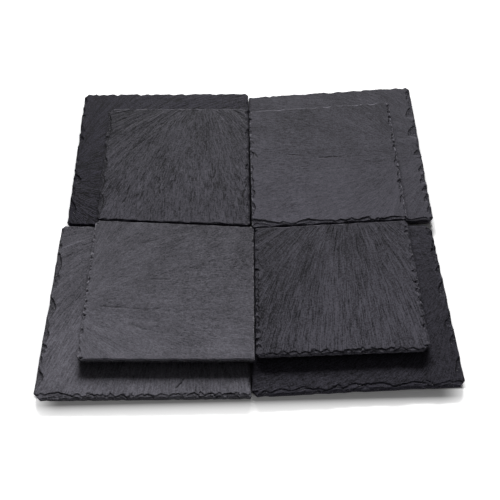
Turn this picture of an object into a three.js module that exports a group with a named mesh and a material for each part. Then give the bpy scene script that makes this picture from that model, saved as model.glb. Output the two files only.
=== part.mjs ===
// Eight square slate plates for serving: four large ones in a block, a smaller one on each.
// Every plate is one split stone with hand-dressed edges and four glued rubber feet under its corners.
// Millimetres, +Z up, +Y to the back. The origin is under the middle of the set, on the table.

import * as THREE from "three";

// Nominal plates
const LARGE_SIDE = 300;
const LARGE_THICKNESS = 7;
const SMALL_SIDE = 250;
const SMALL_THICKNESS = 6.5;

// Rubber feet: round discs glued on by a thin film, with a chamfered tread
const FOOT_DIAMETER = 18;
const FOOT_HEIGHT = 3;
const FOOT_CHAMFER = 0.6;
const FOOT_INSET = 32;
const FOOT_SIDES = 14;
const GLUE_FILM = 0.3;

// How the plates lie: the gap between neighbours, and the air under a foot that rests on a slate
const PLATE_GAP = 0.6;
const REST_GAP = 0.3;

// Dressed edge: the slate is struck from below and thin flakes leave the top face. A flake's scar drops in
// one low step to an almost level shelf. At its brink the rough broken side slopes out to the lip.
const LIP_HEIGHT = 3;
const SIDE_UNDERCUT = 0.6;
const STEP_DROP = 0.75;
const SHELF_FALL = 0.6;
// Shares of a scar's own reach: at its cusps, at the shoulder between its deepest point and the next cusp,
// and where its shelf has its brink and its root
const CUSP_SHARE = 0.3;
const SHOULDER_SHARE = 0.62;
const BRINK_SHARE = 0.38;
const ROOT_SHARE = 0.93;
// A scar stays on its own side of the corner's mitre line
const MITRE_SHARE = 0.7;

const SLATE_ROUGHNESS = 0.7;
const RUBBER = new THREE.MeshStandardMaterial({ color: 0x1d1d1f, roughness: 0.9, metalness: 0 });

// One row per plate, values in the order front, right, back, left where there are four.
// side: which quarter of the block, -1 left or front, 1 right or back.
// turn: degrees off square, counter-clockwise. laid: shift from its quarter, along x and y.
// trim: how much wider and deeper than nominal it was cut. runout: how far an edge leans out, end to end.
// reach: how far the flake scars run in over the top face. scar: how long a scar is along the edge.
// shelf: 1 where flakes have left shelves, 0 where the edge broke off in one plain slope.
// crumble: how far the lip has crumbled back at most.
// nick: how much of each corner is knocked off, in the order front left, front right, back right, back left.
const PLATES = [
  {
    name: "front_left", large: true, side: [-1, -1], turn: -0.95, laid: [-1.9, 9.5], trim: [6.4, 8],
    runout: [-0.6, -6.6, -6.3, -3.6], reach: [8, 4, 2, 8], scar: [13, 25, 30, 38],
    shelf: [1, 1, 0.3, 1], crumble: [1.2, 0.6, 1.5, 1.5], nick: [11, 2, 4, 6], colour: 0x57555a, seed: 11,
  },
  {
    name: "front_right", large: true, side: [1, -1], turn: 1.2, laid: [-3.5, -4.6], trim: [2.9, -6],
    runout: [-2.2, -2.3, -8.7, -4.6], reach: [10, 7, 2.5, 4], scar: [30, 24, 28, 25],
    shelf: [1, 1, 0.6, 1], crumble: [1.5, 1.5, 1.2, 0.6], nick: [8, 9, 10, 4], colour: 0x343336, seed: 23,
  },
  {
    name: "back_left", large: true, side: [-1, 1], turn: -0.55, laid: [5.5, 0.2], trim: [1.3, 5.2],
    runout: [6.4, -1.7, -4.4, 1.1], reach: [1.5, 4, 1.5, 6], scar: [28, 28, 21, 23],
    shelf: [0.3, 1, 0.5, 1], crumble: [0.8, 0.6, 3, 1.5], nick: [6, 4, 5, 8], colour: 0x38373a, seed: 37,
  },
  {
    name: "back_right", large: true, side: [1, 1], turn: 0.95, laid: [4.5, -4.5], trim: [-2.8, 6.7],
    runout: [-0.7, 5, 13, -5.7], reach: [6, 8, 1.5, 4], scar: [22, 25, 24, 28],
    shelf: [1, 1, 0.5, 1], crumble: [1.2, 1.5, 3.4, 0.6], nick: [4, 8, 7, 2.5], colour: 0x4b4a4d, seed: 41,
  },
  {
    name: "front_left", large: false, side: [-1, -1], turn: -1.55, laid: [8.5, 11.8], trim: [8.1, 0.7],
    runout: [-0.4, -2.8, -14.4, 1.3], reach: [3.5, 1.2, 1.5, 3.5], scar: [36, 30, 30, 12],
    shelf: [0, 0.3, 0.3, 1], crumble: [1.2, 0.6, 0.8, 1.2], nick: [6, 3, 4, 7], colour: 0x545255, seed: 53,
  },
  {
    name: "front_right", large: false, side: [1, -1], turn: 0.7, laid: [4.9, -2.9], trim: [2, -12.3],
    runout: [-1.2, -1.8, 5.3, -6.5], reach: [6, 6, 2, 7], scar: [14, 19, 27, 18],
    shelf: [1, 1, 0.3, 0.8], crumble: [1.2, 1.8, 0.8, 0.8], nick: [6, 12, 5, 4], colour: 0x444347, seed: 67,
  },
  {
    name: "back_left", large: false, side: [-1, 1], turn: -0.7, laid: [5, -7.1], trim: [0.9, 8.7],
    runout: [16, -0.7, -4.6, 2.3], reach: [2, 6, 1.5, 8], scar: [22, 26, 26, 30],
    shelf: [0.6, 1, 0.3, 1], crumble: [0.8, 0.8, 1.2, 1.8], nick: [5, 4, 5, 10], colour: 0x464549, seed: 71,
  },
  {
    name: "back_right", large: false, side: [1, 1], turn: 0.9, laid: [5, -11.8], trim: [2.5, 15.6],
    runout: [-5, 4.5, 11.5, -3.9], reach: [9, 4.5, 1.5, 4], scar: [32, 15, 26, 15],
    shelf: [1, 1, 0.3, 1], crumble: [0.8, 1.8, 1.2, 0.6], nick: [4, 7, 6, 5], colour: 0x4c4b4e, seed: 83,
  },
];

const nominalSide = (plate) => (plate.large ? LARGE_SIDE : SMALL_SIDE);
const thicknessOf = (plate) => (plate.large ? LARGE_THICKNESS : SMALL_THICKNESS);
const slateBase = FOOT_HEIGHT + GLUE_FILM;
const largeTop = slateBase + LARGE_THICKNESS;
const smallFoot = largeTop + REST_GAP;

// A repeatable draw between two values: each plate breaks the same way on every build
const draw = (low, high) => low + (high - low) * THREE.MathUtils.seededRandom();

// The four corners of a plate as cut, counter-clockwise from the front left
function cutCorners(plate) {
  const halfWidth = (nominalSide(plate) + plate.trim[0]) / 2;
  const halfDepth = (nominalSide(plate) + plate.trim[1]) / 2;
  const [front, right, back, left] = plate.runout.map((lean) => lean / 2);
  return [
    new THREE.Vector2(-halfWidth + left, -halfDepth + front),
    new THREE.Vector2(halfWidth - right, -halfDepth - front),
    new THREE.Vector2(halfWidth + right, halfDepth + back),
    new THREE.Vector2(-halfWidth - left, halfDepth - back),
  ];
}

// The flake scars of one edge, side by side between its two corner nicks. A scar runs from a cusp to its
// deepest point, which lies to one side, and back over a shoulder. Each entry says how far along the edge
// a point lies, how far the scar reaches in there, and how far the lip has crumbled back.
function edgeScars(length, dressing, startNick, endNick) {
  const { reach, scar, shelf, crumble } = dressing;
  const run = length - startNick - endNick;
  const widths = Array.from({ length: Math.max(2, Math.round(run / scar)) }, () => draw(0.5, 1.5));
  const total = widths.reduce((sum, width) => sum + width, 0);
  const points = [];
  let start = startNick;
  for (const width of widths) {
    const span = (width / total) * run;
    const depth = reach * (1 + shelf * draw(-0.5, 0.5));
    const cusp = 1 - shelf * (1 - CUSP_SHARE * draw(0.3, 1.7));
    const crumbled = draw(0, crumble);
    const deepest = draw(0.25, 0.75);
    for (const [across, bow] of [[0, 0], [deepest, 1], [(1 + deepest) / 2, SHOULDER_SHARE]]) {
      const along = start + span * across;
      const toCorner = Math.min(along, length - along);
      const scoop = depth * (cusp + (1 - cusp) * bow);
      points.push({ along, reach: Math.min(scoop, MITRE_SHARE * toCorner), lip: crumbled * bow });
    }
    start += span;
  }
  const cornerReach = Math.min(reach * (1 - shelf * (1 - CUSP_SHARE)), MITRE_SHARE * endNick);
  points.push({ along: length - endNick, reach: cornerReach, lip: 0 });
  return points;
}

// The five rings of a dressed slate, from the bottom up: base, lip, brink and root of the shelves, crest
function dressedRings(plate) {
  THREE.MathUtils.seededRandom(plate.seed);
  const corners = cutCorners(plate);
  const thickness = thicknessOf(plate);
  const rootHeight = thickness - STEP_DROP;
  const brinkHeight = rootHeight - SHELF_FALL;
  const rings = [[], [], [], [], []];
  corners.forEach((corner, edge) => {
    const next = corners[(edge + 1) % 4];
    const along = next.clone().sub(corner).normalize();
    const inward = new THREE.Vector2(-along.y, along.x);
    const place = (point, inset, height) => {
      const spot = corner.clone().addScaledVector(along, point.along).addScaledVector(inward, inset);
      return new THREE.Vector3(spot.x, spot.y, height);
    };
    const shelf = plate.shelf[edge];
    const { reach, scar, crumble } = plate;
    const dressing = { reach: reach[edge], scar: scar[edge], shelf, crumble: crumble[edge] };
    const endNick = plate.nick[(edge + 1) % 4];
    const scars = edgeScars(corner.distanceTo(next), dressing, plate.nick[edge], endNick);
    for (const point of scars) {
      // On a shelved edge a ring has its own share of the reach, on a plain one it lies on a straight slope
      const inset = (share, height) =>
        point.lip + point.reach * THREE.MathUtils.lerp(height / thickness, share, shelf);
      rings[0].push(place(point, point.lip + shelf * SIDE_UNDERCUT, 0));
      rings[1].push(place(point, inset(0, LIP_HEIGHT), LIP_HEIGHT));
      rings[2].push(place(point, inset(BRINK_SHARE, brinkHeight), brinkHeight));
      rings[3].push(place(point, inset(ROOT_SHARE, rootHeight), rootHeight));
      rings[4].push(place(point, point.lip + point.reach, thickness));
    }
  });
  return rings;
}

// A closed loft through rings of equal count, each counter-clockwise seen from above, capped at both ends
function loftRings(rings) {
  const count = rings[0].length;
  const index = [];
  for (let level = 0; level + 1 < rings.length; level += 1) {
    for (let i = 0; i < count; i += 1) {
      const here = level * count + i;
      const beside = level * count + ((i + 1) % count);
      index.push(here, beside, beside + count, here, beside + count, here + count);
    }
  }
  const flat = (ring) => ring.map((point) => new THREE.Vector2(point.x, point.y));
  const topStart = (rings.length - 1) * count;
  for (const [a, b, c] of THREE.ShapeUtils.triangulateShape(flat(rings[0]), [])) {
    index.push(a, c, b);
  }
  for (const [a, b, c] of THREE.ShapeUtils.triangulateShape(flat(rings.at(-1)), [])) {
    index.push(topStart + a, topStart + b, topStart + c);
  }
  const geometry = new THREE.BufferGeometry().setFromPoints(rings.flat());
  geometry.setIndex(index);
  geometry.computeVertexNormals();
  return geometry;
}

// The rubber foot as a turned disc, standing on its tread
function footGeometry() {
  const radius = FOOT_DIAMETER / 2;
  const profile = [
    new THREE.Vector2(0, 0),
    new THREE.Vector2(radius - FOOT_CHAMFER, 0),
    new THREE.Vector2(radius, FOOT_CHAMFER),
    new THREE.Vector2(radius, FOOT_HEIGHT),
    new THREE.Vector2(0, FOOT_HEIGHT),
  ];
  return new THREE.LatheGeometry(profile, FOOT_SIDES).rotateX(Math.PI / 2);
}

// Where a turned plate lies: pushed up to the middle of the block, then shifted as it was laid
function layPlate(group, plate) {
  group.rotation.z = THREE.MathUtils.degToRad(plate.turn);
  const middle = new THREE.Vector2();
  const turned = cutCorners(plate).map((corner) => corner.rotateAround(middle, group.rotation.z));
  const outline = new THREE.Box2().setFromPoints(turned);
  const inner = new THREE.Vector2(
    plate.side[0] > 0 ? outline.min.x : outline.max.x,
    plate.side[1] > 0 ? outline.min.y : outline.max.y,
  );
  group.position.set(
    (plate.side[0] * PLATE_GAP) / 2 - inner.x + plate.laid[0],
    (plate.side[1] * PLATE_GAP) / 2 - inner.y + plate.laid[1],
    plate.large ? 0 : smallFoot,
  );
}

// One plate: its slate on four feet
function makePlate(plate) {
  const group = new THREE.Group();
  const size = plate.large ? "large" : "small";
  const finish = { color: plate.colour, roughness: SLATE_ROUGHNESS, metalness: 0 };
  const stone = new THREE.MeshStandardMaterial(finish);
  const slate = new THREE.Mesh(loftRings(dressedRings(plate)), stone);
  slate.name = `${size}_slate_${plate.name}`;
  slate.position.z = slateBase;
  group.add(slate);
  const footX = (nominalSide(plate) + plate.trim[0]) / 2 - FOOT_INSET;
  const footY = (nominalSide(plate) + plate.trim[1]) / 2 - FOOT_INSET;
  [[-1, -1], [1, -1], [1, 1], [-1, 1]].forEach(([x, y], i) => {
    const foot = new THREE.Mesh(footGeometry(), RUBBER);
    foot.name = `${size}_foot_${plate.name}_${i + 1}`;
    foot.position.set(x * footX, y * footY, 0);
    group.add(foot);
  });
  layPlate(group, plate);
  return group;
}

// The set, moved so that the origin is under the middle of its outline
const plateSet = new THREE.Group();
PLATES.forEach((plate) => plateSet.add(makePlate(plate)));
const setOutline = new THREE.Box3().setFromObject(plateSet, true);
const setMiddle = setOutline.getCenter(new THREE.Vector3());
plateSet.position.set(-setMiddle.x, -setMiddle.y, 0);

export default plateSet;
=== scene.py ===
# %% [markdown]
# # Eight slate plates
# Four large square slates lie in a block, and a smaller one stands on each. A slate is split from its
# block by hand, so its face follows the grain of the stone, and its edges are struck off, so they flake.
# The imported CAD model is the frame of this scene. It gives each plate's place, its outline and the
# shelves of its larger flakes. This script adds what the solids leave out: the riven faces, the crumbled
# edges, the finish, the light and the camera.

# %% Load the frame
import math
from typing import NamedTuple

import bmesh
import bpy
import numpy as np
from mathutils import Matrix, Vector
from mathutils.bvhtree import BVHTree


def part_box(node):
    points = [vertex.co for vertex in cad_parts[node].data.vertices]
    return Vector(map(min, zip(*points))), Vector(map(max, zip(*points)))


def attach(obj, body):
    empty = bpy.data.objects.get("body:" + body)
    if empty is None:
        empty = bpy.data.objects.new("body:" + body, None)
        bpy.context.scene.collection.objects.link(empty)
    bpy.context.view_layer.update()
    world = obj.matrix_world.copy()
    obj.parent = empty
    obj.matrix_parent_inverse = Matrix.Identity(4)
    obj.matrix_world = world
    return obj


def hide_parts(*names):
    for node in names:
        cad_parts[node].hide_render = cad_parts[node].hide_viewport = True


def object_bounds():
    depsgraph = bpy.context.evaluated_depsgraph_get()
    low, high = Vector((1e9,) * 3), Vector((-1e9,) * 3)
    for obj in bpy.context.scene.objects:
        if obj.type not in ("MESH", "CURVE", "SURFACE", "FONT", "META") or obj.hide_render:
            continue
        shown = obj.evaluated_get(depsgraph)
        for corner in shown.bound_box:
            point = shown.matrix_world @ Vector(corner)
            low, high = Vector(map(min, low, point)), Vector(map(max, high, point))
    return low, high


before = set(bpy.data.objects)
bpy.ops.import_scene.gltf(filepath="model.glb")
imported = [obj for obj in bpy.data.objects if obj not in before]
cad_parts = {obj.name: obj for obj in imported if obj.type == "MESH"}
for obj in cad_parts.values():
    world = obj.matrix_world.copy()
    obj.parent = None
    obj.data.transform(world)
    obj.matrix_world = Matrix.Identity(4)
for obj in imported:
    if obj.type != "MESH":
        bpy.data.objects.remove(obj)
cad_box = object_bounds()
MM = 0.001
print("CAD box, mm:", [[round(value / MM, 1) for value in corner] for corner in cad_box])

# %% [markdown]
# ## The camera
# The picture was taken from the front with the camera well above the table. Place, tilt and lens were
# found by laying the plates' straight edges over the edges in the picture. The camera could also be aimed
# with a Track To constraint, but three plain turns say more about how it was held: down, aside and a
# slight roll.

# %% Camera
CAMERA_PLACE = Vector((0.58, -844.76, 1104.7)) * MM
LOOK_DOWN = math.radians(54.11)
LOOK_ASIDE = math.radians(0.36)
CAMERA_ROLL = math.radians(-1.03)
LENS = 61.1

held = Matrix.Rotation(-LOOK_ASIDE, 4, "Z")
held @= Matrix.Rotation(math.pi / 2 - LOOK_DOWN, 4, "X")
held @= Matrix.Rotation(CAMERA_ROLL, 4, "Z")
camera = bpy.data.objects.new("photo_camera", bpy.data.cameras.new("photo_camera"))
camera.data.lens = LENS
camera.matrix_world = Matrix.Translation(CAMERA_PLACE) @ held
scene = bpy.context.scene
scene.collection.objects.link(camera)
scene.camera = camera
scene.view_settings.view_transform = "Standard"
print("camera at", [round(value, 3) for value in CAMERA_PLACE], "m with a", LENS, "mm lens")

# %% [markdown]
# ## Shader sums in Python
# Stone needs a lot of shader arithmetic, and a chain of Math nodes is hard to read as code. So one small
# class wraps a node's output and overloads the operators: `1 - mask` adds its Math node by itself. Any
# other node is added by the method `add`, which takes settings first and sockets after them.


# %% A node output that can be used in sums
class Wire:
    """A node's output socket. Sums of wires and numbers add their Math nodes."""

    def __init__(self, tree, socket=None):
        self.tree = tree
        self.socket = socket

    def add(self, kind, settings=None, inputs=None, output=0):
        """Adds a node: first its settings, then the values or links of its sockets."""
        node = self.tree.nodes.new(kind)
        for name, value in (settings or {}).items():
            setattr(node, name, value)
        for name, value in (inputs or {}).items():
            if isinstance(value, Wire):
                self.tree.links.new(value.socket, node.inputs[name])
            else:
                node.inputs[name].default_value = value
        return Wire(self.tree, node.outputs[output] if node.outputs else None)

    def sum(self, operation, *terms):
        return self.add("ShaderNodeMath", {"operation": operation}, dict(enumerate(terms)))

    def __add__(self, other):
        return self.sum("ADD", self, other)

    def __sub__(self, other):
        return self.sum("SUBTRACT", self, other)

    def __rsub__(self, other):
        return self.sum("SUBTRACT", other, self)

    def __mul__(self, other):
        return self.sum("MULTIPLY", self, other)

    def __truediv__(self, other):
        return self.sum("DIVIDE", self, other)

    def __rtruediv__(self, other):
        return self.sum("DIVIDE", other, self)

    def __pow__(self, power):
        return self.sum("POWER", self, power)

    def __abs__(self):
        return self.sum("ABSOLUTE", self)

    __radd__ = __add__
    __rmul__ = __mul__

    def between(self, low, high):
        """A soft step: 0 where the value is below low, 1 where it is above high."""
        edges = {"Value": self, "From Min": low, "From Max": high}
        return self.add("ShaderNodeMapRange", {"interpolation_type": "SMOOTHSTEP"}, edges)

    def output(self, name):
        """Another output of the same node."""
        return Wire(self.tree, self.socket.node.outputs[name])

    def split(self):
        """The three parts of a vector."""
        parts = self.add("ShaderNodeSeparateXYZ", inputs={"Vector": self})
        return [parts.output(name) for name in "XYZ"]

    def noise(self, u, v, w, detail=2.0, roughness=0.5):
        """Noise from 0 to 1 with one bump about every unit of u, v and w."""
        point = self.add("ShaderNodeCombineXYZ", inputs={0: u, 1: v, 2: w})
        grain = {"Vector": point, "Scale": 1.0, "Detail": detail, "Roughness": roughness}
        return self.add("ShaderNodeTexNoise", inputs=grain)

    def strokes(self, across, along, fan, seed, detail=2.0):
        """Noise drawn out along the streaks of the stone. Where the plume fans out, the strokes divide."""
        octave = self.sum("LOGARITHM", fan, 2)
        coarse = self.sum("FLOOR", octave)
        wide = self.noise(across * self.sum("POWER", 2, coarse), along, seed + coarse * 7, detail)
        thin = self.noise(across * self.sum("POWER", 2, coarse + 1), along, seed + coarse * 7 + 7, detail)
        return wide + (octave - coarse) * (thin - wide)

    def mix(self, share, first, second):
        """A colour between two colours."""
        return self.add("ShaderNodeMix", {"data_type": "RGBA"}, {0: share, 6: first, 7: second}, 2)


def empty_tree(owner):
    """The cleared node tree of a material or world, as a wire to add nodes to."""
    owner.use_nodes = True
    owner.node_tree.nodes.clear()
    return Wire(owner.node_tree)


def grey(level, tint=(1.0, 1.0, 1.0)):
    return (level * tint[0], level * tint[1], level * tint[2], 1.0)


print("shader sums ready")

# %% [markdown]
# ## The floor
# The plates lie on a white table. In the picture it is whiter than white: only a soft shadow right at the
# front edge is left of it, while the gaps between the plates stay black. So the camera sees the floor
# brighter than the plates do, and in front of the block it also sees a painted glow that grows with the
# distance: this paints the soft front shadow, dark at the plates' feet. In a narrow gap it sees the floor
# darker instead, as painted shade. An Ambient Occlusion node finds the gaps, so they open up when the plates
# are drawn apart. No more light falls on the stone that way. Its faint sheen shows the white as well, and so
# would anything clear.

# %% Floor
FLOOR_REACH = 40.0
FLOOR_DROP = 0.2 * MM

floor_mesh = bmesh.new()
bmesh.ops.create_grid(floor_mesh, x_segments=1, y_segments=1, size=FLOOR_REACH)
bmesh.ops.translate(floor_mesh, vec=(0, 0, -FLOOR_DROP), verts=floor_mesh.verts)
floor = bpy.data.objects.new("floor", bpy.data.meshes.new("floor"))
floor_mesh.to_mesh(floor.data)
floor_mesh.free()
scene.collection.objects.link(floor)
print("floor", 2 * FLOOR_REACH, "m wide")

# %% White of the floor
FLOOR_WHITE, FLOOR_SEEN, GAP_SEEN = 0.88, 1.5, 0.12
GAP_REACH, GAP_OPEN = 20.0 * MM, (0.25, 0.45)
GLOW_FOOT, GLOW_FADE = 0.085, 13.5 * MM
GLOW_START, GLOW_ENDS = (-13.0 * MM, -10.0 * MM), (-40.0 * MM, 25.0 * MM)


def seen_rays(start):
    """1 for rays from the camera, off a sheen or through something clear, and 0 for rays that carry light."""
    rays = start.add("ShaderNodeLightPath")
    seen = rays.output("Is Camera Ray")
    for kind in ("Is Glossy Ray", "Is Transmission Ray"):
        seen = start.sum("MAXIMUM", seen, rays.output(kind))
    return seen


floor_finish = bpy.data.materials.new("white_floor")
start = empty_tree(floor_finish)
x, y = start.add("ShaderNodeTexCoord", output="Object").split()[:2]
beyond = abs(x) - cad_box[1][0]
before = cad_box[0][1] - y
away = (start.sum("MAXIMUM", beyond, 0) ** 2 + start.sum("MAXIMUM", before, 0) ** 2) ** 0.5
gap = start.add("ShaderNodeAmbientOcclusion", inputs={"Distance": GAP_REACH}, output="AO")
rays = seen_rays(start)
# Painted shade: where the Ambient Occlusion finds a narrow gap, the camera sees the floor dark.
seen = start.mix(gap.between(*GAP_OPEN), grey(GAP_SEEN), grey(FLOOR_SEEN))
lit = start.add("ShaderNodeBsdfDiffuse", inputs={"Color": start.mix(rays, grey(FLOOR_WHITE), seen)})
# Painted shadow in front of the block: the glow is faint at the plates' feet and grows with the distance.
dark = (1 - GLOW_FOOT) * start.sum("EXPONENT", away / -GLOW_FADE) * (1 - beyond.between(*GLOW_ENDS))
painted_floor_glow = rays * before.between(*GLOW_START) * (1 - dark)
shine = start.add("ShaderNodeEmission", inputs={"Color": start.mix(painted_floor_glow, grey(0.0), grey(1.0))})
both = start.add("ShaderNodeAddShader", inputs={0: lit, 1: shine})
start.add("ShaderNodeOutputMaterial", inputs={"Surface": both})
floor.data.materials.append(floor_finish)
print("floor white", FLOOR_WHITE, "and", FLOOR_SEEN, "as the camera sees it,", GAP_SEEN, "in a gap")

# %% [markdown]
# ## The light
# The shadows tell where the light stood. Before each small slate lies a black strip, twice as wide as the
# slate stands high, and its end is soft: so nearly all light comes from a long softbox low behind the
# plates. It rakes over the stone and shows every ridge. The front edges aren't black though, so a low
# white card lights them. Area lamps could do this, but they fade with distance. Painted in the world, the
# light is even.

# %% Softbox and card, painted in the world
SOFTBOX, SOFTBOX_HEIGHT, SOFTBOX_SOFT = 105.0, (0.235, 0.37), 0.03
SOFTBOX_SIDE = (0.20, 0.36)
UPPER, UPPER_HEIGHT, UPPER_SOFT = 0.3, (0.36, 0.66), 0.08
CARD, CARD_HEIGHT, CARD_SOFT = 4.0, (-0.05, 0.09), 0.03
FILL = 0.015
BEHIND = (0.10, 0.40)
BACKDROP_WHITE = 1.0


def band(height, ends, soft):
    """1 between two heights, with soft ends."""
    low, high = ends
    return height.between(low - soft, low + soft) * (1 - height.between(high - soft, high + soft))


scene.world = bpy.data.worlds.new("studio")
start = empty_tree(scene.world)
aside, behind, height = start.add("ShaderNodeTexCoord", output="Generated").split()
softbox = band(height, SOFTBOX_HEIGHT, SOFTBOX_SOFT) * (1 - abs(aside).between(*SOFTBOX_SIDE)) * SOFTBOX
lamps = softbox + band(height, UPPER_HEIGHT, UPPER_SOFT) * UPPER
card = band(height, CARD_HEIGHT, CARD_SOFT) * CARD
light = lamps * behind.between(*BEHIND) + card * (-1 * behind).between(*BEHIND) + FILL
strength = light + seen_rays(start) * (BACKDROP_WHITE - light)
sky = start.add("ShaderNodeBackground", inputs={"Color": grey(1.0), "Strength": strength})
start.add("ShaderNodeOutputWorld", inputs={"Surface": sky})
print("softbox strength", SOFTBOX, "and card", CARD, "over a fill of", FILL)

# %% [markdown]
# ## Where each plate lies
# A plate was laid by hand, a little off square. The CAD gives each foot as a solid of its own, so the
# middle of the four feet is the middle of the plate, and the line between the two front feet gives its
# turn. Reading this from the frame means that no place is written down twice.

# %% Seats
SIZES = ("large", "small")
QUARTERS = ("front_left", "front_right", "back_left", "back_right")
FEET = (1, 2, 3, 4)


class Seat(NamedTuple):
    """Where a plate lies, and how far it is turned."""

    centre: Vector
    turn: float


def plate_seat(size, quarter):
    """The middle of a slate's underside, and how far the plate is turned."""
    boxes = [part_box(f"{size}_foot_{quarter}_{foot}") for foot in FEET]
    feet = [(low + high) / 2 for low, high in boxes]
    centre = sum(feet, Vector()) / len(feet)
    centre.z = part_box(f"{size}_slate_{quarter}")[0].z
    front = feet[1] - feet[0]
    return Seat(centre, math.atan2(front.y, front.x))


seats = {(size, quarter): plate_seat(size, quarter) for size in SIZES for quarter in QUARTERS}
for (size, quarter), seat in seats.items():
    print(size, quarter, [round(value / MM, 1) for value in seat.centre], round(math.degrees(seat.turn), 2))

# %% [markdown]
# ## How each slate split
# No two slates look alike, because each cracked from another spot. The crack starts at one edge and runs
# over the stone, and it leaves fine streaks that fan out from that spot and bend round until they run
# side by side. So each slate has a look of its own: its grey, its plume, how rough its face is, and how
# its edges broke. Looks drawn by chance would be shorter to write, but these stones are seen one by one,
# beside each other. Places are in millimetres from the middle of the plate. What repeats on four sides is
# given from the front side on, anticlockwise.

# %% What a look says
FRONT, RIGHT, BACK, LEFT, WALL = range(5)


class Look(NamedTuple):
    """How one slate split and broke, and how it is coloured."""

    slot: str  # Its colour slot in the CAD model.
    seed: int  # Where its noise starts.
    tone: float  # How light its grey is.
    tint: tuple  # The hue of that grey.
    painted_light_drift: tuple  # Painted light: how much paler it gets towards the right and towards the back.
    plume: tuple  # Where the crack began.
    flow: float  # The way it ran, in degrees.
    spread: float  # How strongly its streaks fan out.
    ridge: float  # Height of its ridges, in usual heights. The next four are shares of the usual, too.
    step: float  # Height of the steps between its sheets.
    dash: float  # Depth of the dashes torn out of it.
    fibre: float  # Contrast of its fibres.
    length: float  # Length of its fibres.
    torn: tuple  # How pale the broken stone is along the four sides and the wall below, with painted light and shade.
    flakes: tuple  # Spacing and reach of the flakes along the four sides.
    scars: dict  # The large flakes of some sides: the blunt end, the thin end and the reach of each.
    cracks: list  # The cracks, each through a few points.
    cleft: float = 1.0  # Depth of the cracks, as a share of the usual.
    beads: float = 0.0  # How pale the beads along the left and right rim are: crushed stone with painted glints.
    shelf: float = 1.4  # How level the front shelf is: 0 leaves it as it is in the solid.
    scarp: float = 0.6  # How far the front shelf lies below the face.


PALE, GREY = (1.0, 0.966, 1.13), (0.985, 0.945, 1.16)
DARK, DEEP = (0.97, 0.92, 1.20), (0.94, 0.87, 1.28)
LOOKS = {}
print("a look has", len(Look._fields), "values")

# %% Looks of the large slates
LOOKS["large", "front_left"] = Look(
    slot="slate_pale", seed=11, tone=0.086, tint=PALE, painted_light_drift=(0, -0.08),
    plume=(60, 150), flow=-90, spread=0.5,
    ridge=0.6, step=0.4, dash=0.4, fibre=1.0, length=1.2,
    torn=(0.44, 0.4, 0.5, 0.28, 0.24), flakes=((12, 9), (16, 5), (10, 3), (14, 5)),
    scars={
        FRONT: [(-88, -165, 13), (-60, -86, 9), (-18, -44, 6), (20, -4, 7), (64, 38, 9), (88, 60, 10),
                (112, 86, 9), (144, 108, 9)],
        LEFT: [(109, 43, 12.3), (20, -28, 14.4), (-34, -69, 10.6), (-64, -78, 10.3), (-84, -103, 5.8),
               (-106, -140, 11.6)],
    },
    cracks=[[(49, -137), (60, -124)]],
)
LOOKS["large", "front_right"] = Look(
    slot="slate_dark", seed=23, tone=0.0254, tint=DARK, painted_light_drift=(0, 0.05),
    plume=(150, 90), flow=180, spread=0.4,
    ridge=0.3, step=0.4, dash=0.4, fibre=1.8, length=0.7,
    torn=(0.88, 0.48, 0.5, 0.45, 1.0), flakes=((16, 6), (16, 6), (12, 3), (18, 5)),
    scars={
        FRONT: [(-56, -100, 10), (-15, -56, 9), (-12, 40, 14), (121, 40, 12), (165, 121, 9)],
        RIGHT: [(118, 68, 9.4), (37, 2, 12.3), (-30, -51, 13.4), (-60, -85, 11.8), (-100, -135, 11.4)],
    },
    cracks=[],
)
LOOKS["large", "back_left"] = Look(
    slot="slate_dark", seed=37, tone=0.0175, tint=DEEP, painted_light_drift=(0.06, 0.04),
    plume=(-150, -60), flow=0, spread=0.5,
    ridge=0.8, step=0.5, dash=0.7, fibre=3.0, length=1.5,
    torn=(0.5, 0.5, 0.5, 0.42, 0.5), flakes=((20, 2.5), (15, 5), (8, 3), (12, 5)),
    scars={LEFT: [(105, 88, 7.2), (52, 30, 8.8), (-38, -72, 15.3), (-75, -96, 6.7), (-96, -147, 13.2)]},
    cracks=[],
)
LOOKS["large", "back_right"] = Look(
    slot="slate_grey", seed=41, tone=0.053, tint=GREY, painted_light_drift=(0, -0.06),
    plume=(150, 20), flow=180, spread=0.4,
    ridge=0.4, step=0.3, dash=0.4, fibre=0.8, length=0.7,
    torn=(0.48, 0.46, 0.5, 0.45, 0.48), flakes=((16, 7), (14, 6), (10, 3), (15, 5)),
    scars={
        RIGHT: [(148, 121, 9.1), (111, 75, 16.1), (66, 28, 19.3), (6, -15, 15.5), (-31, -54, 12.7),
                (-58, -77, 13.4), (-100, -119, 12.4), (-123, -143, 11.4)],
    },
    cracks=[],
)
print("large slates:", {quarter: look.slot for (size, quarter), look in LOOKS.items()})

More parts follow.
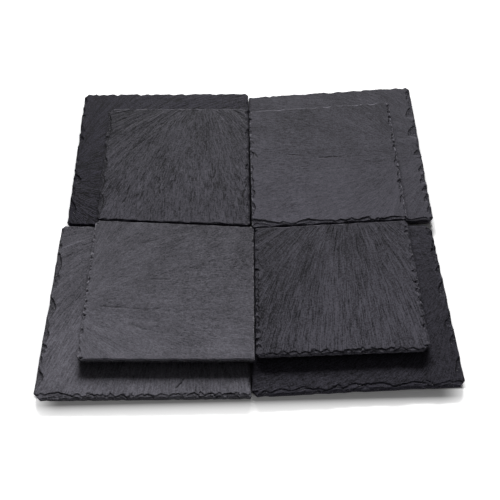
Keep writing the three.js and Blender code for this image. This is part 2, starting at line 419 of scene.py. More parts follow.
# %% Looks of the small slates
LOOKS["small", "front_left"] = Look(
    slot="slate_pale", seed=53, tone=0.082, tint=PALE, painted_light_drift=(-0.05, -0.12),
    plume=(-128, -35), flow=0, spread=0.5,
    ridge=0.4, step=0.4, dash=0.9, fibre=0.87, length=0.5,
    torn=(0.45, 0.4, 0.5, 0.34, 0.15), flakes=((60, 1.5), (18, 2.5), (12, 2.5), (9, 5)),
    scars={},
    cracks=[[(-103, -33), (-60, -36), (-34, -40), (-15, -38), (23, -47)], [(-53, -64), (-32, -74)],
            [(-80, 91), (-54, 107)], [(-48, 85), (-24, 93)], [(-31, 16), (-3, 16)]],
    cleft=0.5, beads=1.8, shelf=6, scarp=0,
)
LOOKS["small", "front_right"] = Look(
    slot="slate_grey", seed=67, tone=0.0447, tint=GREY, painted_light_drift=(0.04, -0.06),
    plume=(33, 134), flow=-90, spread=0.5,
    ridge=0.9, step=0.4, dash=0.4, fibre=1.65, length=2.2,
    torn=(0.72, 0.48, 0.5, 0.46, 0.6), flakes=((14, 6), (14, 9), (14, 3), (15, 6)),
    scars={
        FRONT: [(first, first - 24, 6 + first % 3) for first in range(112, -110, -16)],
        LEFT: [(first, first - 14, 6) for first in range(30, -70, -10)],
    },
    cracks=[[(-111, 89), (-99, 77)], [(-119, 47), (-112, 35)]],
)
LOOKS["small", "back_left"] = Look(
    slot="slate_grey", seed=71, tone=0.0425, tint=GREY, painted_light_drift=(0.042, -0.10),
    plume=(45, 134), flow=-90, spread=0.5,
    ridge=0.7, step=1.5, dash=1.0, fibre=1.65, length=1.1,
    torn=(0.46, 0.4, 0.55, 0.32, 0.42), flakes=((20, 3), (28, 8), (14, 4.5), (14, 5)),
    scars={LEFT: [(126, 30, 8.3), (27, -28, 7.7), (-20, -67, 7.5), (-62, -121, 9.3)]},
    cracks=[[(-36, -22), (-25, -40), (-24, -68)], [(-85, -88), (-78, -74), (-75, -50)],
            [(-52, -63), (-54, -80)], [(121, -51), (114, -75), (116, -96)], [(50, 46), (53, 11)],
            [(68, -21), (64, -37)], [(30, -21), (24, -36)], [(-17, 10), (-26, -15)], [(-56, 55), (-79, 29)],
            [(-25, 93), (-41, 69)], [(86, -61), (84, -83)]],
)
LOOKS["small", "back_right"] = Look(
    slot="slate_grey", seed=83, tone=0.0565, tint=GREY, painted_light_drift=(-0.03, -0.13),
    plume=(122, 15), flow=180, spread=0.5,
    ridge=0.4, step=0.2, dash=0.9, fibre=0.9, length=0.75,
    torn=(0.62, 0.5, 0.6, 0.42, 0.6), flakes=((16, 6), (13, 5), (22, 6), (14, 4)),
    scars={
        FRONT: [(-70, -190, 19), (-66, 0, 15), (30, 0, 10), (76, 36, 12), (80, 135, 12)],
        RIGHT: [(126, 108, 5.3), (103, 79, 7), (66, 43, 5.2), (40, 19, 5.1), (12, -17, 6.8), (-22, -44, 5),
                (-50, -72, 6.6), (-76, -102, 8.2)],
        LEFT: [(33, 10, 6.9), (-1, -22, 5), (-28, -50, 5), (-54, -76, 6.6), (-84, -109, 6.5)],
    },
    cracks=[[(-54, 18), (-40, 18)], [(-15, 10), (28, 10)], [(-121, 52), (-115, 40)], [(-119, 26), (-112, 14)]],
    beads=1.8,
)
print("looks in all:", len(LOOKS))

# %% Streaks of the plume
PLUME_START = 12.0


def grain(x, y, look):
    """Names each point by its streak: how far across the plume the streak began, how far along it the
    point is, and how many times as wide the plume is there. It works on numbers, on arrays and on wires."""
    flow = math.radians(look.flow)
    right, back = x - look.plume[0], y - look.plume[1]
    along = right * math.cos(flow) + back * math.sin(flow)
    across = back * math.cos(flow) - right * math.sin(flow)
    fan = ((along + abs(along)) / (2 * PLUME_START) + 1) ** look.spread
    return across / fan, along, fan


print("streak through the middle of the last slate:", grain(0, 0, LOOKS["small", "back_right"]))

# %% [markdown]
# ## Repeatable noise
# Broken stone needs noise, but the same stone has to come out on every run. Blender's mathutils.noise
# works on one point at a time. Written on NumPy arrays, the same gradient noise shapes a whole slate at
# once, and its lattice is hashed from whole numbers, so nothing is left to chance.


# %% Noise on arrays
def hashed(i, j, seed):
    """A fixed number from 0 to 1 for each crossing of a lattice."""
    wave = np.sin(i * 127.1 + j * 311.7 + seed * 74.7) * 43758.5453
    return wave - np.floor(wave)


def soft_step(low, high, value):
    share = np.clip((value - low) / (high - low), 0, 1)
    return share * share * (3 - 2 * share)


def noise(u, v, seed):
    """Gradient noise from about -1 to 1, with one bump about every unit."""
    i, j = np.floor(u), np.floor(v)
    du, dv = u - i, v - j

    def from_corner(a, b):
        turn = 2 * np.pi * hashed(i + a, j + b, seed)
        return np.cos(turn) * (du - a) + np.sin(turn) * (dv - b)

    share_u, share_v = soft_step(0, 1, du), soft_step(0, 1, dv)
    near = from_corner(0, 0) * (1 - share_u) + from_corner(1, 0) * share_u
    far = from_corner(0, 1) * (1 - share_u) + from_corner(1, 1) * share_u
    return 1.5 * (near * (1 - share_v) + far * share_v)


def layered(u, v, seed, layers=3):
    """Noise with finer and weaker noise on top."""
    return sum(noise(u * 2**layer, v * 2**layer, seed + layer) / 2**layer for layer in range(layers))


def strokes(across, along, fan, seed, layers=2):
    """Noise drawn out along the streaks. Where the plume fans out, the strokes divide and stay as wide."""
    octave = np.log2(fan)
    coarse = np.floor(octave)
    wide = layered(across * 2**coarse, along, seed + coarse * 7, layers)
    thin = layered(across * 2 ** (coarse + 1), along, seed + coarse * 7 + 7, layers)
    return wide + (octave - coarse) * (thin - wide)


def terraces(level, sharpness):
    """Turns a slope into steps: flat treads with a short rise before each whole number."""
    tread = np.floor(level)
    return tread + soft_step(1 - 1 / sharpness, 1, level - tread)


print("noise at a few points:", np.round(noise(np.array([0.3, 1.7]), np.array([0.6, 2.2]), 1), 3))

# %% [markdown]
# ## The riven face
# A split face is never flat. It swells a little over a hand's width, it has low ridges along the streaks,
# thin sheets of stone end in tiny steps, and short dashes are torn out. A displacement modifier with a
# texture could do it, but the ridges have to follow the plume, so the height of each point is worked out
# from its streak. All of it is carved downwards, so that nothing stands above the solid, where the next
# plate's feet rest.

# %% Relief
SWELL_HEIGHT, SWELL_WIDTH = 0.30, 85.0
WAVE_HEIGHT, WAVE_WIDTH, WAVE_LENGTH = 0.05, 9.0, 70.0
BEND, BEND_WIDTH = 1.2, 26.0
RIDGE_HEIGHT, RIDGE_WIDTH, RIDGE_LENGTH = 0.06, 2.2, 110.0
STEP_HEIGHT, STEP_WIDTH, STEP_LENGTH = 0.20, 14.0, 60.0
STEP_COUNT, STEP_SHARPNESS = 2.0, 6
DASH_DEPTH, DASH_WIDTH, DASH_LENGTH, DASH_EDGE = 0.18, 2.6, 16.0, (0.55, 0.95)
CRACK_DEPTH, CRACK_WIDTH = 0.5, 2.2
CRACK_WANDER, CRACK_WANDER_WIDTH = 1.1, 7.0
CRACK_BREAK_WIDTH, CRACK_BREAK_EDGE = 8.0, (-0.5, 0.0)
HIGHEST_PERCENT = 99


def from_line(x, y, first, second):
    """How far points lie from a straight line between two points."""
    (x0, y0), (x1, y1) = first, second
    run_x, run_y = x1 - x0, y1 - y0
    share = np.clip(((x - x0) * run_x + (y - y0) * run_y) / (run_x**2 + run_y**2), 0, 1)
    return np.hypot(x - x0 - share * run_x, y - y0 - share * run_y)


def crack_depth(x, y, look):
    """The cracks that are seen by eye, each a crooked groove through a few points, broken off in places."""
    wander_x, wander_y = (
        place + CRACK_WANDER * layered(x / CRACK_WANDER_WIDTH, y / CRACK_WANDER_WIDTH, look.seed + shift)
        for place, shift in ((x, 60), (y, 61))
    )
    depth = np.zeros_like(x)
    for crack in look.cracks:
        for first, second in zip(crack, crack[1:]):
            gap = from_line(wander_x, wander_y, first, second)
            depth = np.maximum(depth, 1 - soft_step(0, CRACK_WIDTH, gap))
    whole = soft_step(*CRACK_BREAK_EDGE, noise(x / CRACK_BREAK_WIDTH, y / CRACK_BREAK_WIDTH, look.seed + 62))
    return look.cleft * CRACK_DEPTH * depth * whole


def riven_relief(x, y, look):
    """The height of a split face in millimetres: 0 at its highest points."""
    streak, along, fan = grain(x, y, look)
    streak = streak + BEND * layered(x / BEND_WIDTH, y / BEND_WIDTH, look.seed + 3) / fan
    swell = SWELL_HEIGHT * layered(x / SWELL_WIDTH, y / SWELL_WIDTH, look.seed, 2)
    waves = WAVE_HEIGHT * strokes(streak / WAVE_WIDTH, along / WAVE_LENGTH, fan, look.seed + 5, 2)
    ridges = layered(streak / RIDGE_WIDTH, along / RIDGE_LENGTH, look.seed + 10, 3)
    sheets = STEP_COUNT * strokes(streak / STEP_WIDTH, along / STEP_LENGTH, fan, look.seed + 20, 3)
    torn = strokes(streak / DASH_WIDTH, along / DASH_LENGTH, fan, look.seed + 30, 2)
    relief = swell + look.ridge * (waves + RIDGE_HEIGHT * ridges)
    relief = relief + look.step * STEP_HEIGHT * terraces(sheets, STEP_SHARPNESS)
    relief = relief - look.dash * DASH_DEPTH * soft_step(*DASH_EDGE, torn)
    relief = relief - np.percentile(relief, HIGHEST_PERCENT)
    return np.minimum(relief, 0) - crack_depth(x, y, look)


print("relief is carved up to about", SWELL_HEIGHT + RIDGE_HEIGHT + 2 * STEP_HEIGHT, "mm deep")

# %% [markdown]
# ## The slab
# Each slate starts as one flat grid of quads. Its rows lie close together near the edges, where the
# flakes are, and further apart in the middle. The grid's square rim is then drawn to the slate's own
# outline by casting rays from the middle to the CAD solid, and every point drops onto that solid from
# above. Starting from a subdivided copy of the CAD mesh would be shorter, but its long thin triangles
# would crease.

# %% The solid slate as a target
CELL_RIM, CELL_MIDDLE, RIM = 0.6, 1.15, 15.0
MERGE = 1e-7


def solid_slate(size, quarter):
    """A slate's solid in its own frame, square on and in millimetres."""
    seat = seats[size, quarter]
    solid = bmesh.new()
    solid.from_mesh(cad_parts[f"{size}_slate_{quarter}"].data)
    bmesh.ops.remove_doubles(solid, verts=solid.verts, dist=MERGE)
    square_on = Matrix.Scale(1 / MM, 4) @ Matrix.Rotation(-seat.turn, 4, "Z")
    square_on = square_on @ Matrix.Translation(-seat.centre)
    bmesh.ops.transform(solid, matrix=square_on, verts=solid.verts)
    return solid


def graded(share, half):
    """Places a row of the grid: close rows within the rim, wider ones between."""
    rim_rows = RIM / CELL_RIM
    rows = 2 * rim_rows + 2 * (half - RIM) / CELL_MIDDLE
    marks = [0, rim_rows, rows - rim_rows, rows]
    return np.interp((share + 1) / 2 * rows, marks, [-half, RIM - half, half - RIM, half])


def row_count(half):
    return round(2 * RIM / CELL_RIM + 2 * (half - RIM) / CELL_MIDDLE)


print("rows over a 300 mm slate:", row_count(150))

# %% Draw the grid to the outline
PULL_REACH = 1.6 * RIM


def outline_point(tree, x, y, height):
    """Where a ray from the middle through x and y leaves the slate, at this height."""
    return tree.ray_cast(Vector((0, 0, height)), Vector((x, y, 0)))[0]


def drawn_to_outline(tree, x, y, half_x, half_y, lip):
    """Moves the rim of the square grid onto the slate's outline, and less so further in."""
    edge = np.maximum(np.abs(x) / half_x, np.abs(y) / half_y)
    pull = soft_step(1 - PULL_REACH / half_x, 1, edge)
    stretch = np.ones_like(x)
    for i in np.flatnonzero(pull):
        rim = Vector((x[i], y[i], 0)) / edge[i]
        reached = outline_point(tree, rim.x, rim.y, lip)
        stretch[i] = 1 + pull[i] * (reached.xy.length / rim.length - 1)
    return x * stretch, y * stretch


print("the grid is drawn to the outline over the last", PULL_REACH, "mm")

# %% [markdown]
# ## Struck edges
# The slater strikes the edge from below, and flakes jump off the top. The solid has the large ones as
# facets. Along their crest the uppermost sheet of stone has come off in small pointed or bowed flakes,
# less than a millimetre deep, with an almost level floor: in raking light each is a thin dark line round
# a pale patch. A boolean cut for each flake would be slow. As a formula of the way along and in from the
# edge, all flakes of a side are worked out at once. The attribute "broken" marks these places for the
# finish.

# %% Flakes along a side
FLAKE_WIDE, FLAKE_REACH, FLAKE_DEPTH = (0.4, 0.9), (0.3, 1.1), (0.3, 0.9)
CLIFF_SLOPE, CLIFF_SHARE, FLOOR_SLOPE = 2.0, (1, 1.5, 0.1, 1.5), (0.04, 0.05, 0.42, 0.05)
BLUNT, TAPER = 2.0, 0.9


def from_sides(x, y, half_x, half_y):
    """How far inside each of the four sides points lie."""
    return np.array([half_y + y, half_x - x, half_y - y, half_x + x])


def flake_drop(along, inside, half, pitch, reach, side, seed):
    """How deep the flakes of one side go at points along and inside it. Each ends bluntly at its far end."""
    drop = np.zeros_like(along)
    for number in range(math.ceil(2 * half / pitch)):
        shift, wide, deep, layer, bow = hashed(number, np.arange(5), seed)
        middle = (number + shift) * pitch - half
        offset = (along - middle) / (pitch * np.interp(wide, (0, 1), FLAKE_WIDE))
        offset = np.maximum(offset * BLUNT, -offset * TAPER)
        behind = reach * np.interp(deep, (0, 1), FLAKE_REACH) * (1 - offset ** (1 + bow)) - inside
        floor_drop = np.interp(layer, (0, 1), FLAKE_DEPTH) * CLIFF_SHARE[side] + behind * FLOOR_SLOPE[side]
        drop = np.maximum(drop, np.minimum(behind * CLIFF_SLOPE, floor_drop))
    return drop


print("flakes along the first front, pitch and reach in mm:", LOOKS["large", "front_left"].flakes[FRONT])

# %% [markdown]
# ## Scars
# A few flakes of each slate are so large that the eye knows them again, so their places are part of its
# look. A scar starts bluntly where the blow fell and runs out thin along the edge. The dark line round it
# is painted shade, where the scar's cliff would cast its shadow. That shade could be painted on a flat
# texture, but as an attribute it follows the shape. Two of the small slates also have pale beads along their
# left and right rim: crushed stone, with painted glints of chips that catch the light.

# %% Scars, and all flakes of a slate
SCAR_START, SCAR_ROUND, SCAR_THIN = (0.45, 0.75, 0.5, 0.5), (1.3, 2.2, 2.2, 2.2), 0.7
SCAR_DEPTH, SCAR_SLOPE = (0.65, 0.8, 0.1, 1.1), 0.08
LINE_WIDTH, LINE_CORE, LINE_FADE = 1.5, 0.3, (0.3, 0.9, 1.0, 0.3)
LINE_ENDS = (0.1, 0.9)
SMALL_PITCH, SMALL_REACH = 0.45, 0.6
BEAD_REACH, BEAD_WIDTH, BEAD_EDGE = 3.0, 2.4, (0, 0.3)


def scar_drop(along, inside, scars, side):
    """How deep the large scars of one side go, and the line of painted shade round them. Each starts bluntly
    at its first end and tapers to its last, where the floor rises and the painted line fades."""
    drop, line = np.zeros_like(along), np.zeros_like(along)
    peak = SCAR_START[side]
    for first, last, reach in scars:
        share = np.clip((first - along) / (first - last), 0, 1)
        rise = 1 - (1 - np.minimum(share / peak, 1)) ** SCAR_ROUND[side]
        bow = np.minimum(rise, ((1 - share) / (1 - peak)) ** SCAR_THIN)
        behind = reach * bow - inside
        deep = SCAR_DEPTH[side] * (1 - soft_step(peak, 1, share))
        drop = np.maximum(drop, np.minimum(behind * CLIFF_SLOPE, deep + behind * SCAR_SLOPE))
        # Painted shade: a dark line where the scar's cliff would throw its shadow.
        dark = (1 - soft_step(LINE_CORE * LINE_WIDTH, LINE_WIDTH, np.abs(behind))) * (bow > LINE_ENDS[0])
        line = np.maximum(line, dark * (1 - LINE_FADE[side] * soft_step(peak, LINE_ENDS[1], share)))
    return drop, line


def flakes(x, y, half_x, half_y, look):
    """The depth of all flakes on the four sides of a slate: the scars, the larger and the smaller flakes.
    The second result is the line of painted shade round the scars."""
    drop, lines = np.zeros_like(x), np.zeros_like(x)
    for side, inside in enumerate(from_sides(x, y, half_x, half_y)):
        along, half = (x, half_x) if side in (FRONT, BACK) else (y, half_y)
        pitch, reach = look.flakes[side]
        seed = look.seed + side
        large = flake_drop(along, inside, half, pitch, reach, side, seed)
        small = flake_drop(along, inside, half, pitch * SMALL_PITCH, reach * SMALL_REACH, side, seed + 0.5)
        scarred, line = scar_drop(along, inside, look.scars.get(side, ()), side)
        drop = np.maximum.reduce([drop, large, small, scarred])
        lines = np.maximum(lines, line)
    return drop, lines


def torn_tone(grid, depths, look):
    """How pale the broken stone is, with painted light and shade: as on the nearest side, and beads on the
    rim.
    """
    rim = 1 - soft_step(0.5 * BEAD_REACH, BEAD_REACH, np.minimum(depths[RIGHT], depths[LEFT]))
    # The beads are partly crushed stone and partly painted glints of chips that catch the light.
    beads = soft_step(*BEAD_EDGE, noise(grid[0] / BEAD_WIDTH, grid[1] / BEAD_WIDTH, look.seed + 80))
    # Painted light and shade: each side's tone is set paler or darker for how that side faces the light.
    return np.array(look.torn)[np.argmin(depths, axis=0)] + look.beads * rim * beads


print("scars of each slate:", {key: sum(map(len, look.scars.values())) for key, look in LOOKS.items()})

# %% [markdown]
# ## The top as a whole
# The facets of the solid fall off evenly, but struck stone comes off in level sheets. So the front
# shelves, which the camera sees best, are levelled: each starts with a low scarp below the face and falls
# only at its end. Then the flakes are cut into it, and what is broken gets thin sheets of its own.
# Cutting the sheets one by one would give the same steps with far more work.

# %% The height of a dressed top
WANDER, WANDER_WIDTH, WANDER_EASE = 1.2, 4.5, 4.0
SHEET, SHEET_SHARPNESS, SHEET_SHARE = 0.75, 2.5, 0.7
SHELF_TURN, SCARP_SHARE = 4.0, (0.02, 0.08)
SHELF_ROUGH, SHELF_ROUGH_WIDTH = 0.30, 2.6
BROKEN_DROP = (0.15, 1.1)
ABOVE, JUST_INSIDE = 50.0, 0.9995


def height_below(tree, x, y, lip):
    """The height of the solid below a point, or its lip where the point is beside it."""
    hit = tree.ray_cast(Vector((x, y, ABOVE)), Vector((0, 0, -1)))[0]
    return max(hit.z, lip) if hit else lip


def levelled(solid, depths, lip, crest, look):
    """Levels the front shelf below a low scarp, and lets it fall at its end."""
    nearer = np.min(depths[RIGHT:], axis=0) - depths[FRONT]
    front = soft_step(-SHELF_TURN, SHELF_TURN, nearer)
    share = np.clip((crest - solid) / (crest - lip), 0, 1)
    scarp = look.scarp * front * soft_step(*SCARP_SHARE, share)
    return crest - scarp - (crest - lip - scarp) * share ** (1 + look.shelf * front)


def flaked_height(tree, grid, x, y, half_x, half_y, lip, crest, look):
    """The height of the dressed top, how broken it is, from 0 to 1, and the painted shade round the scars."""
    depths = from_sides(*grid, half_x, half_y)
    inside = np.min(depths, axis=0)
    ease = soft_step(0, WANDER_EASE, inside)
    ragged = [ease * WANDER * layered(x / WANDER_WIDTH, y / WANDER_WIDTH, look.seed + 40 + k) for k in (0, 1)]
    solid = np.full_like(x, crest)
    for i in np.flatnonzero(inside < RIM):
        spot = Vector((x[i] + ragged[0][i], y[i] + ragged[1][i])) * JUST_INSIDE
        solid[i] = height_below(tree, spot.x, spot.y, lip)
    chips, lines = flakes(grid[0] + ragged[0], grid[1] + ragged[1], half_x, half_y, look)
    height = np.maximum(np.minimum(levelled(solid, depths, lip, crest, look), crest - chips), lip)
    broken = soft_step(*BROKEN_DROP, crest - height)
    rough = SHELF_ROUGH * layered(x / SHELF_ROUGH_WIDTH, y / SHELF_ROUGH_WIDTH, look.seed + 50)
    sheeted = SHEET * terraces((height + rough) / SHEET, SHEET_SHARPNESS)
    return height + broken * SHEET_SHARE * (sheeted - height), broken, lines


print("front scarps, mm:", {key: look.scarp for key, look in LOOKS.items()})

# %% [markdown]
# ## Broken sides
# Below the lip the side is rough: the edges of many thin sheets, some set back from others. The rim of
# the grid is extruded down in a few courses, each drawn to the solid's outline at its own height and then
# set back a little by noise. A last face closes the underside. A Solidify modifier would be quicker, but
# its walls are plain.

# %% Sides and underside
COURSES, COURSE_SHIFT = 5, 7.3
SET_BACK, SET_BACK_LENGTH = 0.55, 3.0
LOWEST_RAY = 0.02


def broken_sides(slab, tree, lip, look):
    """Extrudes the rim down to the underside, course by course, and closes it."""
    mark, pale = (slab.verts.layers.float[name] for name in ("broken", "torn"))
    rim = [edge for edge in slab.edges if edge.is_boundary]
    for course in range(1, COURSES + 1):
        made = bmesh.ops.extrude_edge_only(slab, edges=rim)["geom"]
        rim = [item for item in made if isinstance(item, bmesh.types.BMEdge)]
        height = lip * (1 - course / COURSES)
        for corner in {vert for edge in rim for vert in edge.verts}:
            reached = outline_point(tree, corner.co.x, corner.co.y, max(height, LOWEST_RAY))
            around = math.atan2(corner.co.y, corner.co.x) * reached.xy.length
            rough = float(layered(around / SET_BACK_LENGTH, course * COURSE_SHIFT, look.seed + 70, 2))
            back = SET_BACK * (1 + rough) * (course < COURSES)
            corner.co = reached.xy.to_3d() * (1 - back / reached.xy.length)
            corner.co.z = height
            corner[mark] = 1
            # The wall's tone holds painted light and shade for the little light that reaches it.
            corner[pale] = look.torn[WALL]
    bmesh.ops.contextual_create(slab, geom=rim)


print("courses below the lip:", COURSES)

# %% [markdown]
# ## One slate from all of this
# The grid is laid, drawn to the outline, lifted to its height and closed. What the finish needs to know
# of each point goes along as attributes: how broken the stone is there, how much painted shade darkens a
# crack or the rim of a scar, and how pale its broken parts are. Vertex colours could hold the three as well,
# but named attributes say what they are.

# %% One riven slate
SHARP = math.radians(38)
ATTRIBUTES = ("broken", "crack_and_scar_shade", "torn")


def riven_slate(size, quarter):
    """The dressed slate as a mesh object at the origin."""
    look = LOOKS[size, quarter]
    seat = seats[size, quarter]
    solid = solid_slate(size, quarter)
    tree = BVHTree.FromBMesh(solid)
    levels = sorted({round(vert.co.z, 2) for vert in solid.verts})
    lip, crest = levels[1], levels[-1]
    half_x = max(abs(vert.co.x) for vert in solid.verts)
    half_y = max(abs(vert.co.y) for vert in solid.verts)
    slab = bmesh.new()
    for name in ATTRIBUTES:
        slab.verts.layers.float.new(name)
    mark, crack, pale = (slab.verts.layers.float[name] for name in ATTRIBUTES)
    bmesh.ops.create_grid(slab, x_segments=row_count(half_x), y_segments=row_count(half_y), size=1)
    flat = np.array([vert.co for vert in slab.verts])
    grid = graded(flat[:, 0], half_x), graded(flat[:, 1], half_y)
    x, y = drawn_to_outline(tree, *grid, half_x, half_y, lip)
    height, broken, lines = flaked_height(tree, grid, x, y, half_x, half_y, lip, crest, look)
    height = height + (1 - broken) * riven_relief(x, y, look)
    # Cracks and the rims of scars get painted shade in the finish.
    crack_and_scar_shade = np.maximum(crack_depth(x, y, look) / CRACK_DEPTH, lines)
    tones = torn_tone(grid, from_sides(*grid, half_x, half_y), look)
    for vert, *place, split, dark, tone in zip(slab.verts, x, y, height, broken, crack_and_scar_shade, tones):
        vert.co = place
        vert[mark] = split
        vert[crack] = dark
        vert[pale] = tone
    broken_sides(slab, tree, lip, look)
    bmesh.ops.recalc_face_normals(slab, faces=slab.faces)
    for face in slab.faces:
        face.smooth = True
    place = Matrix.Translation(seat.centre) @ Matrix.Rotation(seat.turn, 4, "Z") @ Matrix.Scale(MM, 4)
    bmesh.ops.transform(slab, matrix=place, verts=slab.verts)
    stone = bpy.data.objects.new(f"stone_{size}_{quarter}", bpy.data.meshes.new(f"stone_{size}_{quarter}"))
    slab.to_mesh(stone.data)
    stone.data.set_sharp_from_angle(angle=SHARP)
    scene.collection.objects.link(stone)
    slab.free()
    solid.free()
    return stone


stones = {key: riven_slate(*key) for key in LOOKS}
print("stones:", {stone.name: len(stone.data.polygons) for stone in stones.values()})

# %% [markdown]
# ## The finish of slate
# Slate is a fine dark grey with a breath of violet, dull but with a soft sheen on its ridges. The streaks
# show as slightly paler and darker fibres, so the finish uses the same grain as the relief. Where the
# stone is broken, its sheets show as fine lines, and pale specks are crushed stone with painted glints of
# chips that catch the light. Cracks and scar rims get painted shade, and each face a painted gradient of
# light. A Mapping node turns each pattern with its plate, because the piece itself sits unturned at the
# origin.

# %% Slate
CHALK_AND_GLINT, SHEEN, NODE_SWING = 0.30, 0.036, 4
FACE_SHADE, DRIFT_REACH, SCAR_AND_CRACK_SHADE = 0.52, 125.0, 0.88
DARKEST, PALEST = 0.1, 1.9
FIBRE_SIZE, THREAD_SIZE, SCORE_SIZE, CLOUD_SIZE = (2.2, 18.0), (1.4, 8.0), (1.6, 16.0), (12.0, 80.0)
GRIT_SIZE, DUST_SIZE, SPECK_SIZE = 2.4, 0.9, 1.6
TORN_SHEET_SIZE, CRUMB_SIZE = (9.0, 0.45), (2.2, 1.1)
SCORE_EDGE, SPECK_EDGE, CRUSHED_EDGE = (0.64, 0.72), (0.66, 0.74), (1.0, 2.0)
FIBRE_SHADE, THREAD_SHADE, SCORE_SHADE, GRIT_SHADE, DUST_SHADE = 0.9, 0.9, 0.15, 1.1, 0.9
CLOUD_SHADE, CLOUD_RIDGE_SHADE, RIDGE_SHADE = 0.2, 0.7, 0.6
TORN_SHEET_SHADE, CRUMB_SHADE, SPECK_SHADE, CRUSHED_SHADE = 0.6, 1.0, 0.6, 0.3
FIBRE_LIFT, THREAD_LIFT, SCORE_LIFT, GRIT_LIFT, DUST_LIFT = 0.16, 0.07, 0.05, 0.16, 0.05
TORN_SHEET_LIFT, CRUMB_LIFT = 0.3, 0.45
ROUGH, FIBRE_ROUGH, BROKEN_ROUGH = 0.58, 0.2, 0.1


def slate_finish(size, quarter):
    look = LOOKS[size, quarter]
    seat = seats[size, quarter]
    material = bpy.data.materials.new(f"slate_{size}_{quarter}")
    start = empty_tree(material)
    point = start.add("ShaderNodeTexCoord", output="Object")
    turned = {"Vector": point, "Location": seat.centre, "Rotation": (0, 0, seat.turn), "Scale": (MM, MM, MM)}
    x, y, z = start.add("ShaderNodeMapping", {"vector_type": "TEXTURE"}, turned).split()
    broken, crack_and_scar_shade, torn = (
        start.add("ShaderNodeAttribute", {"attribute_name": name}, output="Fac") for name in ATTRIBUTES
    )

    # Patterns that follow the streaks, each from 0 to 1 with 0.5 as its mean.
    streak, along, fan = grain(x, y, look)
    bend = start.noise(x / BEND_WIDTH, y / BEND_WIDTH, look.seed + 0.2, 3, 0.6) - 0.5
    streak = streak + bend * (NODE_SWING * BEND) / fan
    ridges = start.noise(streak / RIDGE_WIDTH, along / RIDGE_LENGTH, look.seed + 0.8, 3, 0.6)
    along = along / look.length
    fibres = start.strokes(streak / FIBRE_SIZE[0], along / FIBRE_SIZE[1], fan, look.seed)
    threads = start.strokes(streak / THREAD_SIZE[0], along / THREAD_SIZE[1], fan, look.seed + 0.3)
    scores = start.strokes(streak / SCORE_SIZE[0], along / SCORE_SIZE[1], fan, look.seed + 0.6, 1)
    scores = scores.between(*SCORE_EDGE)
    clouds = start.noise(streak / CLOUD_SIZE[0], along / CLOUD_SIZE[1], look.seed + 0.5, 2, 0.6)

    # Patterns that are the same in every direction, or lie in level sheets.
    grit = start.noise(x / GRIT_SIZE, y / GRIT_SIZE, look.seed + 0.4, 3, 0.65)
    dust = start.noise(x / DUST_SIZE, y / DUST_SIZE, z / DUST_SIZE, 2, 0.6)
    sheets = start.noise(x / TORN_SHEET_SIZE[0], y / TORN_SHEET_SIZE[0], z / TORN_SHEET_SIZE[1], 3, 0.6)
    crumbs = start.noise(x / CRUMB_SIZE[0], y / CRUMB_SIZE[0], z / CRUMB_SIZE[1], 3, 0.65)
    specks_and_glints = start.noise(x / SPECK_SIZE, y / SPECK_SIZE, z / SPECK_SIZE, 1, 0.5).between(*SPECK_EDGE) * broken

    # How light the stone is, and its roughness.
    streaked = (fibres - 0.5) * FIBRE_SHADE + (threads - 0.5) * THREAD_SHADE - scores * SCORE_SHADE
    mottled = (grit - 0.5) * GRIT_SHADE + (dust - 0.5) * DUST_SHADE
    # Painted light: each face is made paler or darker across it, for how the light falls over the block.
    drifted = x * (look.painted_light_drift[0] / DRIFT_REACH) + y * (look.painted_light_drift[1] / DRIFT_REACH)
    clouded = (clouds - 0.5) * (CLOUD_SHADE + CLOUD_RIDGE_SHADE * look.ridge)
    clouded = clouded + (ridges - 0.5) * (RIDGE_SHADE * look.ridge)
    face = FACE_SHADE + drifted + clouded + (streaked + mottled) * look.fibre
    side = torn + (sheets - 0.5) * TORN_SHEET_SHADE + (crumbs - 0.5) * CRUMB_SHADE
    # Painted shade darkens the cracks and the rims of scars.
    shade = (face + broken * (side - face)) * (1 - SCAR_AND_CRACK_SHADE * crack_and_scar_shade)
    stone = start.mix(shade, grey(look.tone * DARKEST, look.tint), grey(look.tone * PALEST, look.tint))
    # Painted glints: the pale specks and beads stand partly for crushed stone and partly for chips catching
    # light.
    crushed_and_glints = start.sum("MAXIMUM", specks_and_glints * SPECK_SHADE, torn.between(*CRUSHED_EDGE) * CRUSHED_SHADE)
    colour = start.mix(crushed_and_glints, stone, grey(CHALK_AND_GLINT))
    roughness = ROUGH + (1 - fibres) * FIBRE_ROUGH + broken * BROKEN_ROUGH

    # Relief that is finer than the mesh, in millimetres.
    grooves = (fibres - 0.5) * FIBRE_LIFT + (threads - 0.5) * THREAD_LIFT - scores * SCORE_LIFT
    face_height = grooves * look.fibre + (grit - 0.5) * GRIT_LIFT + (dust - 0.5) * DUST_LIFT
    side_height = (sheets - 0.5) * TORN_SHEET_LIFT + (crumbs - 0.5) * CRUMB_LIFT
    lift = face_height + broken * (side_height - face_height)
    normal = start.add("ShaderNodeBump", inputs={"Height": lift, "Distance": MM, "Strength": 1.0})
    coat = {"Base Color": colour, "Roughness": roughness, "Normal": normal, "Specular IOR Level": SHEEN}
    shader = start.add("ShaderNodeBsdfPrincipled", inputs=coat)
    start.add("ShaderNodeOutputMaterial", inputs={"Surface": shader})
    return material


for (size, quarter), stone in stones.items():
    stone.data.materials.append(slate_finish(size, quarter))
    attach(stone, f"{size}_plate_{quarter}")
    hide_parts(f"{size}_slate_{quarter}")
print("slate finishes:", len(stones))

# %% [markdown]
# ## Rubber feet
# Four black rubber feet keep a slate off the table. A foot is a moulded disc: a rounded tread edge, a
# shallow dish in the middle of the tread and a small collar where it is glued on. A lathe profile would
# do, but a circle that is extruded and inset shows each step of the moulding.

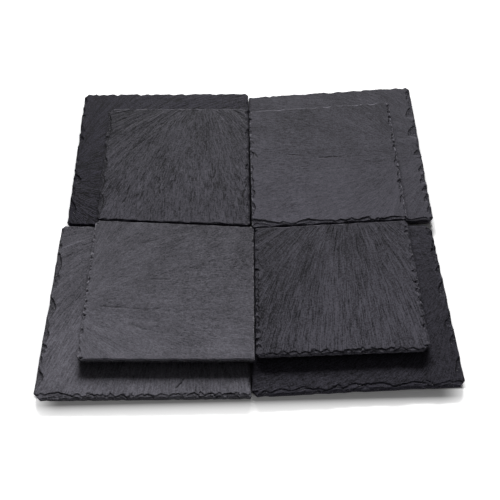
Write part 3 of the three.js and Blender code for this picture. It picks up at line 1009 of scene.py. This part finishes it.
# %% Foot shape
FOOT_SEGMENTS = 28
COLLAR_SHARE, COLLAR_IN = 0.22, 0.5 * MM
TREAD_RADIUS, TREAD_SEGMENTS = 0.7 * MM, 4
DISH_RIM, DISH_DEPTH = 3.2 * MM, 0.5 * MM


def next_ring(foot, ring):
    """Extrudes a ring of edges, and gives the new ring and its corners."""
    made = bmesh.ops.extrude_edge_only(foot, edges=ring)["geom"]
    edges = [item for item in made if isinstance(item, bmesh.types.BMEdge)]
    corners = [item for item in made if isinstance(item, bmesh.types.BMVert)]
    return edges, corners


def rubber_foot(name):
    """A moulded foot in the place of its CAD solid."""
    low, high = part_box(name)
    radius = (high.y - low.y) / 2
    tall = high.z - low.z
    foot = bmesh.new()
    bmesh.ops.create_circle(foot, cap_ends=True, segments=FOOT_SEGMENTS, radius=radius)
    tread = foot.faces[:]
    bmesh.ops.reverse_faces(foot, faces=tread)
    ring, corners = next_ring(foot, foot.edges[:])
    bmesh.ops.translate(foot, vec=(0, 0, tall * (1 - COLLAR_SHARE)), verts=corners)
    ring, corners = next_ring(foot, ring)
    shrink = (radius - COLLAR_IN) / radius
    bmesh.ops.scale(foot, vec=(shrink, shrink, 1), verts=corners)
    ring, corners = next_ring(foot, ring)
    bmesh.ops.translate(foot, vec=(0, 0, tall * COLLAR_SHARE), verts=corners)
    bmesh.ops.contextual_create(foot, geom=ring)
    bmesh.ops.bevel(foot, geom=tread[0].edges[:], offset=TREAD_RADIUS, affect="EDGES", segments=TREAD_SEGMENTS,
                    profile=0.5, material=-1)
    foot.faces.ensure_lookup_table()
    tread = min(foot.faces, key=lambda face: face.calc_center_median().z)
    bmesh.ops.inset_region(foot, faces=[tread], thickness=DISH_RIM)
    bmesh.ops.inset_region(foot, faces=[tread], thickness=DISH_DEPTH, depth=-DISH_DEPTH)
    bmesh.ops.recalc_face_normals(foot, faces=foot.faces)
    for face in foot.faces:
        face.smooth = True
    middle = (low + high) / 2
    bmesh.ops.translate(foot, vec=(middle.x, middle.y, low.z), verts=foot.verts)
    piece = bpy.data.objects.new(name.replace("foot", "rubber"), bpy.data.meshes.new(name))
    foot.to_mesh(piece.data)
    piece.data.set_sharp_from_angle(angle=SHARP)
    scene.collection.objects.link(piece)
    foot.free()
    return piece


print("a foot has", FOOT_SEGMENTS, "sides and a dish", DISH_DEPTH / MM, "mm deep")

# %% [markdown]
# ## Rubber
# Moulded rubber is a dull black. A faint grey bloom comes to its surface with time, and the mould leaves
# fine pores. One flat colour would do for so small a piece, but two soft noises cost nothing and hold up
# close by.

# %% Finish and place the feet
RUBBER_BLACK, RUBBER_RANGE = 0.012, (0.7, 1.6)
BLOOM_SIZE, PORE_SIZE, PORE_DEPTH = 4.0, 0.3, 0.03
RUBBER_ROUGH, BLOOM_ROUGH = 0.62, 0.25


def rubber_finish():
    material = bpy.data.materials.new("foot_rubber")
    start = empty_tree(material)
    point = start.add("ShaderNodeTexCoord", output="Object")
    x, y, z = start.add("ShaderNodeMapping", {}, {"Vector": point, "Scale": (1 / MM, 1 / MM, 1 / MM)}).split()
    bloom = start.noise(x / BLOOM_SIZE, y / BLOOM_SIZE, z / BLOOM_SIZE, 3, 0.6)
    pores = start.noise(x / PORE_SIZE, y / PORE_SIZE, z / PORE_SIZE, 1, 0.5)
    darker, paler = (grey(RUBBER_BLACK * share) for share in RUBBER_RANGE)
    pitted = {"Height": pores * PORE_DEPTH, "Distance": MM, "Strength": 1.0}
    normal = start.add("ShaderNodeBump", inputs=pitted)
    look = {"Base Color": start.mix(bloom, darker, paler), "Roughness": RUBBER_ROUGH + bloom * BLOOM_ROUGH,
            "Normal": normal}
    shader = start.add("ShaderNodeBsdfPrincipled", inputs=look)
    start.add("ShaderNodeOutputMaterial", inputs={"Surface": shader})
    return material


rubber = rubber_finish()
for size, quarter in LOOKS:
    for number in FEET:
        name = f"{size}_foot_{quarter}_{number}"
        piece = rubber_foot(name)
        piece.data.materials.append(rubber)
        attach(piece, f"{size}_plate_{quarter}")
        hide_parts(name)
print("rubber feet:", len(LOOKS) * len(FEET))
